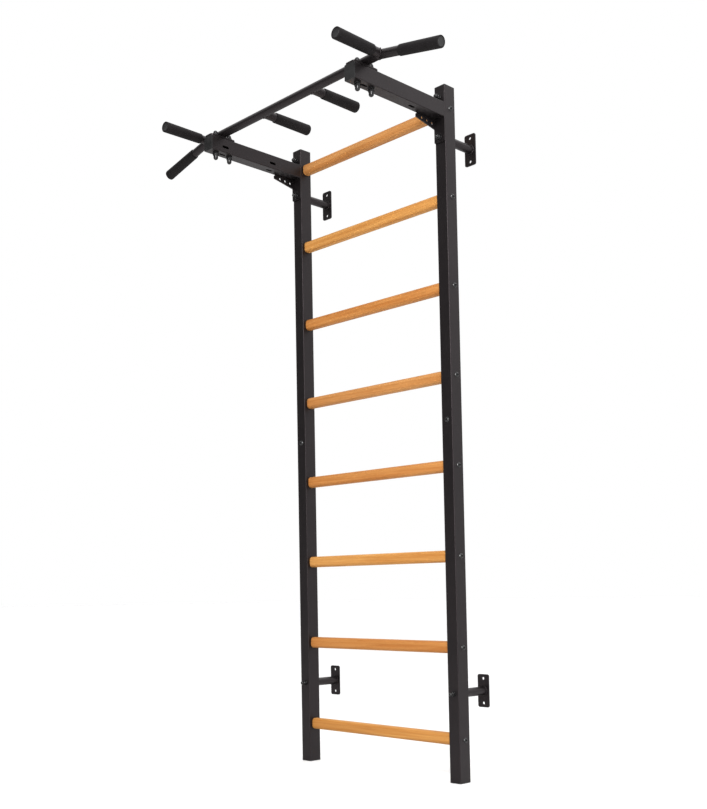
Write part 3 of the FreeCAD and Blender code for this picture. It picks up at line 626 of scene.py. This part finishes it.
def stadium(length, height, count=10):
    """A slot's outline along x."""
    radius = height / 2
    points = []
    for sign, start in ((1, -0.5), (-1, 0.5)):
        for k in range(count + 1):
            a = (start + k / count) * math.pi
            points.append((sign * (length / 2 - radius) + radius * math.cos(a), radius * math.sin(a)))
    return points


def cut_slots(piece, cutters):
    """Cuts the cutters' shells out of a piece, for good."""
    cutters.join()
    mesh = bpy.data.meshes.new("cutters")
    cutters.mesh.to_mesh(mesh)
    cutters.mesh.free()
    tool = bpy.data.objects.new("cutters", mesh)
    scene.collection.objects.link(tool)
    boolean = piece.modifiers.new("slots", "BOOLEAN")
    boolean.operation = "DIFFERENCE"
    boolean.solver = "EXACT"
    boolean.object = tool
    bpy.context.view_layer.update()
    seen = bpy.context.evaluated_depsgraph_get()
    plain = piece.modifiers["flat_faces"]
    plain.show_viewport = False
    seen.update()
    made = bpy.data.meshes.new_from_object(piece.evaluated_get(seen))
    plain.show_viewport = True
    piece.modifiers.remove(boolean)
    old = piece.data
    made.name = old.name + "_cut"
    piece.data = made
    bpy.data.meshes.remove(old)
    bpy.data.objects.remove(tool)
    bpy.data.meshes.remove(mesh)
    made.shade_smooth()
    made.set_sharp_from_angle(angle=SHARP)


for side, sign in SIDES:
    low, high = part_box("arm_tube_" + side)
    centre = (low + high) / 2
    build = Build()
    tube(build, low, high, "y", POST_CORNER, ARM_WALL)
    for edge in (low.z, high.z):
        reach = (high.x - low.x) / 2 - 3 * MM
        build.straight_bead(centre.x, reach, high.y - 1.0 * MM, edge, ARM_BEAD)
    arm = build.finish("arm_" + side, STEEL, "black_steel", "arm_tube_" + side)
    cutters = Build()
    for y in (ARM_FRONT + FRONT_SLOT, high.y - REAR_SLOT):
        wall = 4 * ARM_WALL
        cutters.plate([stadium(SLOT_LENGTH, SLOT_HEIGHT)], wall, CUTTER_EDGE,
                      columns((0, 1, 0), (1, 0, 0), (0, 0, -1), (centre.x, y, low.z)))
        inner = low.x if sign > 0 else high.x
        cutters.plate([stadium(SLOT_LENGTH, SLOT_HEIGHT)], wall, CUTTER_EDGE,
                      columns((0, 1, 0), (0, 0, 1), (1, 0, 0), (inner, y, centre.z - SLOT_DROP)))
    cut_slots(arm, cutters)

    node = "arm_plate_" + side
    span, spot = extent(node), middle(node)
    build = Build()
    bolt = span.z / 2 - ARM_PLATE_MARGIN
    loops = [rounded(span.x, span.z, ARM_PLATE_CORNER)]
    loops += [circle(ARM_PLATE_HOLE, 0, bolt * way, HOLE_AROUND) for way in (-1, 1)]
    build.plate(loops, span.y, 0.5 * MM, facing("-y", spot))
    build.finish("arm_back_plate_" + side, STEEL, "black_steel", node)

    node = "arm_gusset_" + side
    low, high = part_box(node)
    span, spot = high - low, (low + high) / 2
    front, rear = GUSSET_FRONT, span.z
    notch = front / 3
    outline = [(0, 0), (span.y - notch, 0), (span.y, -notch), (span.y, -front), (0, -rear)]
    loops = [outline]
    for along in GUSSET_HOLES:
        depth = rear - (rear - front) * along / span.y
        loops.append(circle(GUSSET_HOLE_RADIUS, along, -GUSSET_HOLE_SINK * depth, HOLE_AROUND))
    turn = columns((0, -1, 0), (0, 0, 1), (-1, 0, 0), (spot.x, high.y, high.z))
    build = Build()
    build.plate(loops, span.x, 0.4 * MM, turn)
    build.finish("arm_brace_" + side, STEEL, "black_steel", node)

    node = "saddle_plate_" + side
    span, spot = extent(node), middle(node)
    build = Build()
    build.plate([rounded(span.x, span.y, SADDLE_CORNER)], span.z, 0.6 * MM, facing("z", spot))
    build.finish("bar_saddle_" + side, STEEL, "black_steel", node)

build = Build()
for side, sign in SIDES:
    low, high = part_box("arm_tube_" + side)
    cap(build, Vector((low.x, ARM_FRONT, low.z)), Vector((high.x, low.y, high.z)), "y", CAP_EDGE)
    cap_plug(build, low, Vector((high.x, low.y + PLUG_LENGTH, high.z)), "y", ARM_PLUG_WALL)
build.finish("arm_end_caps", PLASTIC, "black_plastic", "arm_front_caps")


# ---- domed nuts and washers --------------------------------------------------------------------


def domed_nut(build, turn, across, hex_height, neck, cap_diameter):
    """A closed nut that stands on its plane: a chamfered hexagon, a round neck and half a ball."""
    apothem, radius = across / 2, cap_diameter / 2
    corner = across / math.sqrt(3)
    profile = [
        (clipped_hexagon(apothem, apothem + 0.25 * (corner - apothem)), 0),
        (clipped_hexagon(apothem, corner * 0.995), 0.7 * MM),
        (clipped_hexagon(apothem, corner * 0.995), hex_height - 1.1 * MM),
        (clipped_hexagon(apothem, apothem + 0.3 * (corner - apothem)), hex_height - 0.4 * MM),
        (clipped_hexagon(apothem, apothem * 0.985), hex_height),
        (radius + 0.5 * MM, hex_height),
        (radius, hex_height + 0.5 * MM),
        (radius, hex_height + neck),
    ]
    steps = 10
    for k in range(1, steps):
        a = k / steps * math.pi / 2
        profile.append((radius * math.cos(a), hex_height + neck + radius * math.sin(a)))
    profile.append((0.15 * MM, hex_height + neck + radius))
    build.lathe(profile, turn, NUT_AROUND)


def washer(build, turn, outer, bore, thick):
    """A flat washer on its plane, with worn edges."""
    ease = 0.35 * MM
    profile = [
        (bore, 0), (outer - ease, 0), (outer, ease),
        (outer, thick - ease), (outer - ease, thick), (bore, thick),
    ]
    build.lathe(profile, turn, closed=True)


ARM_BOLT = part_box("arm_plate_left")[1].z - ARM_PLATE_MARGIN
PLATE_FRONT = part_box("arm_plate_left")[0].y
upper_height = middle("wall_plate_upper_left").z
lower_height = middle("wall_plate_lower_left").z
nuts, washers, bolts = Build(), Build(), Build()
for side, sign in SIDES:
    seats = (lower_height, POST_FRONT), (upper_height, PLATE_FRONT), (ARM_BOLT, PLATE_FRONT)
    for height, face in seats:
        washer(washers, facing("-y", (POST_X * sign, face, height)), **POST_WASHER)
        outer_face = face - POST_WASHER["thick"]
        domed_nut(nuts, facing("-y", (POST_X * sign, outer_face, height)), **POST_NUT)
    turn = facing("y", (POST_X * sign, POST_BACK, ARM_BOLT))
    apothem, corner = ARM_HEAD_ACROSS / 2, ARM_HEAD_ACROSS / math.sqrt(3)
    bolts.lathe([
        (clipped_hexagon(apothem), 0),
        (clipped_hexagon(apothem), ARM_HEAD_HEIGHT - 1.1 * MM),
        (clipped_hexagon(apothem, apothem + 0.3 * (corner - apothem)), ARM_HEAD_HEIGHT - 0.4 * MM),
        (clipped_hexagon(apothem, apothem * 0.97), ARM_HEAD_HEIGHT),
    ], turn, NUT_AROUND)
    stem(bolts, turn, ARM_BOLT_RADIUS, POST_BACK - PLATE_FRONT + ARM_BOLT_PAST_PLATE)
nuts.finish("post_cap_nuts", FASTENER, "black_fastener", "post_domed_nuts")
washers.finish("post_nut_washers", FASTENER, "black_fastener", "post_washers")
bolts.finish("arm_hex_bolts", FASTENER, "black_fastener", "arm_bolts")

nuts, washers = Build(), Build()
for side, sign in SIDES:
    low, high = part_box("arm_tube_" + side)
    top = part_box("saddle_plate_" + side)[1].z
    for setback in SADDLE_BOLTS:
        y = ARM_FRONT + setback
        for face, way, axis in ((top, 1, "z"), (low.z, -1, "-z")):
            spot = (POST_X * sign, y, face)
            washer(washers, facing(axis, spot), **SADDLE_WASHER)
            spot = (POST_X * sign, y, face + SADDLE_WASHER["thick"] * way)
            domed_nut(nuts, facing(axis, spot), neck=SADDLE_NECK[way], **SADDLE_NUT)
nuts.finish("saddle_cap_nuts", FASTENER, "black_fastener", "saddle_domed_nuts")
washers.finish("saddle_nut_washers", FASTENER, "black_fastener", "saddle_washers")


# ---- pull-up bar -------------------------------------------------------------------------------

bar_spot = middle("pull_up_bar")
front_spot = middle("front_handle_left")
BAR_Y, BAR_Z = bar_spot.y, front_spot.z
BAR_RADIUS = extent("pull_up_bar").y / 2
BORE = BAR_RADIUS - BAR_WALL


def ring_at(x, radius, lean=0.0, count=AROUND):
    """A ring of the bar at x, on a plane that leans in x with height."""
    ring = []
    for y, z in circle(radius, count=count):
        ring.append((x + z * lean, BAR_Y + y, BAR_Z + z))
    return ring


def side_axes(sign):
    """A side handle's own direction, and the direction square to it that points up."""
    along = Vector((math.cos(SIDE_ANGLE) * sign, 0, -math.sin(SIDE_ANGLE)))
    up = Vector((math.sin(SIDE_ANGLE) * sign, 0, math.cos(SIDE_ANGLE)))
    return along, up


MITRE = math.tan(SIDE_ANGLE / 2)
build = Build()
outer = [ring_at(BAR_BEND * s, BAR_RADIUS, MITRE * s) for s in (-1, 1)]
inner = [ring_at(BAR_BEND * s, BORE, MITRE * s) for s in (1, -1)]
build.shell(outer + inner, closed=True)
for side, sign in SIDES:
    for edge in (-1, 1):
        reach = extent("saddle_plate_" + side).x / 2 - 2 * MM
        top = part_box("saddle_plate_" + side)[1].z
        y = BAR_Y + edge * SADDLE_BEAD_OFFSET
        build.straight_bead(POST_X * sign, reach, y, top + 1.0 * MM, SADDLE_BEAD)
build.finish("main_bar", STEEL, "black_steel", "pull_up_bar")

for side, sign in SIDES:
    bend = Vector((BAR_BEND * sign, BAR_Y, BAR_Z))
    along, up = side_axes(sign)

    def side_ring(distance, radius, tilt=0.0):
        return [
            bend + along * (distance - z * tilt) + Vector((0, y, 0)) + up * z
            for y, z in circle(radius)
        ]

    tip = SIDE_LENGTH - PLUG_FLANGE
    build = Build()
    skin = [side_ring(0, BAR_RADIUS, MITRE), side_ring(tip, BAR_RADIUS)]
    lining = [side_ring(tip, BORE), side_ring(0, BORE, MITRE)]
    build.shell(skin + lining, closed=True)
    joint = ring_at(BAR_BEND * sign, BAR_RADIUS + 0.1 * MM, MITRE * sign, 2 * AROUND)
    build.bead(joint, BEND_BEAD)
    build.finish("side_tube_" + side, STEEL, "black_steel", "side_handle_" + side)

    for kind, way in (("front", -1), ("inner", 1)):
        node = "%s_handle_%s" % (kind, side)
        low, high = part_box(node)
        x = (low.x + high.x) / 2
        end = low.y if way < 0 else high.y

        def bar_face(z):
            return BAR_Y + way * math.sqrt(BAR_RADIUS ** 2 - min(z ** 2, BAR_RADIUS ** 2))

        def coped(radius, count=AROUND):
            return [(x + cx, bar_face(cz), BAR_Z + cz) for cx, cz in circle(radius, count=count)]

        def square(radius):
            return [(x + cx, end, BAR_Z + cz) for cx, cz in circle(radius)]

        build = Build()
        build.shell([coped(BAR_RADIUS), square(BAR_RADIUS), square(BORE), coped(BORE)], closed=True)
        proud = Vector((0, way * 0.6 * MM, 0))
        build.bead([Vector(p) + proud for p in coped(BAR_RADIUS, 2 * AROUND)], HANDLE_BEAD)
        build.finish("%s_tube_%s" % (kind, side), STEEL, "black_steel", node)


def sleeve(build, turn):
    """A rubber sleeve along Z to z = 0, a little wider at its tip, with soft lips."""
    lip = 2.2 * MM
    profile = [(BAR_RADIUS, -GRIP_LENGTH + 0.3 * MM)]
    for k in range(5):
        a = k / 4 * math.pi / 2
        ease = 1.6 * MM
        profile.append((
            GRIP_ROOT - ease + ease * math.sin(a), -GRIP_LENGTH + ease - ease * math.cos(a)
        ))
    for k in range(1, 8):
        share = k / 8
        profile.append((GRIP_ROOT + (GRIP_TIP - GRIP_ROOT) * share, -GRIP_LENGTH * (1 - share)))
    for k in range(6):
        a = k / 5 * math.pi / 2
        profile.append((GRIP_TIP - lip + lip * math.cos(a), -lip + lip * math.sin(a)))
    profile.append((BAR_RADIUS + 0.5 * MM, 0))
    profile.append((BAR_RADIUS, -0.5 * MM))
    build.lathe(profile, turn, closed=True)


def end_plug(build, turn):
    """The plug in a tube's end: a dished disc inside the sleeve's rim, and a stem in the tube."""
    face = -0.8 * MM
    profile = [
        (BORE - 0.2 * MM, -PLUG_FLANGE - 15 * MM), (BORE - 0.2 * MM, -PLUG_FLANGE),
        (BAR_RADIUS - 0.1 * MM, -PLUG_FLANGE), (BAR_RADIUS - 0.1 * MM, face - 0.8 * MM),
        (BAR_RADIUS - 0.9 * MM, face), (BAR_RADIUS - 3.0 * MM, face),
        (BAR_RADIUS - 3.8 * MM, face - 0.6 * MM),
        (3 * MM, face - 0.9 * MM), (2 * MM, face - 0.9 * MM),
    ]
    build.lathe(profile, turn)


plugs = Build()
for side, sign in SIDES:
    for kind in ("side", "front", "inner"):
        if kind == "side":
            along, up = side_axes(sign)
            tip = Vector((BAR_BEND * sign, BAR_Y, BAR_Z)) + along * SIDE_LENGTH
            turn = columns(up.cross(along), up, along, tip)
        else:
            low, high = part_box("%s_grip_%s" % (kind, side))
            y = low.y if kind == "front" else high.y
            turn = facing("-y" if kind == "front" else "y", ((low.x + high.x) / 2, y, BAR_Z))
        build = Build()
        sleeve(build, turn)
        build.finish("%s_sleeve_%s" % (kind, side), RUBBER, "grip_rubber", "%s_grip_%s" % (kind, side))
        end_plug(plugs, turn)
plugs.finish("handle_end_plugs", PLASTIC, "black_plastic", "grip_end_plugs")


# ---- nodes that keep their CAD shape -----------------------------------------------------------

KEPT = (
    "post_joiner_left", "post_joiner_right", "rung_inserts", "joint_nuts", "wall_studs", "saddle_rods",
)
for kept in KEPT:
    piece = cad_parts[kept]
    piece.data.materials.clear()
    piece.data.materials.append(PLAIN)


# ---- studio ------------------------------------------------------------------------------------


def studio_floor():
    look = Look("studio_floor")
    cloud = look.noise(0.7, detail=2)
    tone = look.ramp(cloud, (0.3, (0.61, 0.61, 0.61)), (0.7, (0.63, 0.63, 0.63)))
    made = look.finish(tone, look.span(cloud, 0.75, 0.85))
    look.shader.inputs["Emission Color"].default_value = (1, 1, 1, 1)
    look.shader.inputs["Emission Strength"].default_value = 0.13
    return made


def lay_floor():
    mesh = bpy.data.meshes.new("floor")
    floor_build = bmesh.new()
    bmesh.ops.create_circle(floor_build, cap_ends=True, segments=2 * AROUND, radius=FLOOR_RADIUS)
    floor_build.to_mesh(mesh)
    floor_build.free()
    mesh.materials.append(studio_floor())
    floor = bpy.data.objects.new("floor", mesh)
    scene.collection.objects.link(floor)
    floor.location.z = FLOOR - FLOOR_GAP


def area_light(name, spot, aim, wide, high, power):
    light = bpy.data.lights.new(name, "AREA")
    light.shape = "RECTANGLE"
    light.size, light.size_y = wide, high
    light.energy = power
    holder = bpy.data.objects.new(name, light)
    holder.location = spot
    holder.rotation_euler = (Vector(aim) - Vector(spot)).to_track_quat("-Z", "Y").to_euler()
    scene.collection.objects.link(holder)


def set_world():
    """White to the camera. For light it is bright overhead and behind the object, dim in front."""
    world = bpy.data.worlds.new("studio")
    scene.world = world
    world.use_nodes = True
    tree = world.node_tree
    tree.nodes.clear()
    coords = tree.nodes.new("ShaderNodeTexCoord")
    split = tree.nodes.new("ShaderNodeSeparateXYZ")
    tree.links.new(coords.outputs["Generated"], split.inputs[0])
    turned = tree.nodes.new("ShaderNodeMath")
    turned.operation = "MULTIPLY_ADD"
    turned.inputs[1].default_value = 0.45
    tree.links.new(split.outputs["X"], turned.inputs[0])
    tree.links.new(split.outputs["Y"], turned.inputs[2])

    def smooth(value, start, stop, low, high):
        """Maps start to stop onto low to high, with soft ends."""
        made = tree.nodes.new("ShaderNodeMapRange")
        made.interpolation_type = "SMOOTHSTEP"
        limits = ("From Min", start), ("From Max", stop), ("To Min", low), ("To Max", high)
        for socket, limit in limits:
            made.inputs[socket].default_value = limit
        tree.links.new(value, made.inputs["Value"])
        return made.outputs["Result"]

    total = tree.nodes.new("ShaderNodeMath")
    around = smooth(turned.outputs[0], -0.75, 0.75, WORLD_FRONT, WORLD_BACK)
    tree.links.new(around, total.inputs[0])
    overhead = smooth(split.outputs["Z"], 0.2, 0.75, 0, WORLD_OVERHEAD)
    tree.links.new(overhead, total.inputs[1])
    lit = tree.nodes.new("ShaderNodeBackground")
    tree.links.new(total.outputs[0], lit.inputs["Strength"])
    seen = tree.nodes.new("ShaderNodeBackground")
    for shown in (lit, seen):
        shown.inputs["Color"].default_value = (1, 1, 1, 1)
    path = tree.nodes.new("ShaderNodeLightPath")
    mixed = tree.nodes.new("ShaderNodeMixShader")
    out = tree.nodes.new("ShaderNodeOutputWorld")
    tree.links.new(path.outputs["Is Camera Ray"], mixed.inputs["Fac"])
    tree.links.new(lit.outputs[0], mixed.inputs[1])
    tree.links.new(seen.outputs[0], mixed.inputs[2])
    tree.links.new(mixed.outputs[0], out.inputs["Surface"])


def set_camera():
    """From the right front, near the height of the lowest rungs, turned up a little."""
    yaw, pitch, roll = (math.radians(turn) for turn in CAMERA_TURNS)
    ahead = Vector((-math.sin(yaw) * math.cos(pitch), math.cos(yaw) * math.cos(pitch), math.sin(pitch)))
    right = ahead.cross(Vector((0, 0, 1))).normalized()
    up = right.cross(ahead)
    turned_right = right * math.cos(roll) + up * math.sin(roll)
    turned_up = up * math.cos(roll) - right * math.sin(roll)
    camera = bpy.data.cameras.new("camera")
    camera.sensor_width = 36
    camera.lens = CAMERA_LENS
    camera.shift_x, camera.shift_y = CAMERA_SHIFT
    camera.clip_end = 200
    holder = bpy.data.objects.new("camera", camera)
    holder.matrix_world = columns(turned_right, turned_up, -ahead, CAMERA_SPOT)
    scene.collection.objects.link(holder)
    scene.camera = holder


lay_floor()
set_world()
set_camera()
area_light("key", spot=(3.2, -3.6, 3.4), aim=(0, -0.2, 0.9), wide=2.0, high=1.6, power=210)
area_light("strip", spot=(3.1, -3.5, 1.2), aim=(0, -0.15, 1.2), wide=0.3, high=3.6, power=130)
area_light("side", spot=(3.6, 1.6, 1.6), aim=(0, -0.1, 0.9), wide=1.6, high=2.6, power=18)
scene.view_settings.view_transform = "Standard"
scene.view_settings.gamma = VIEW_GAMMA
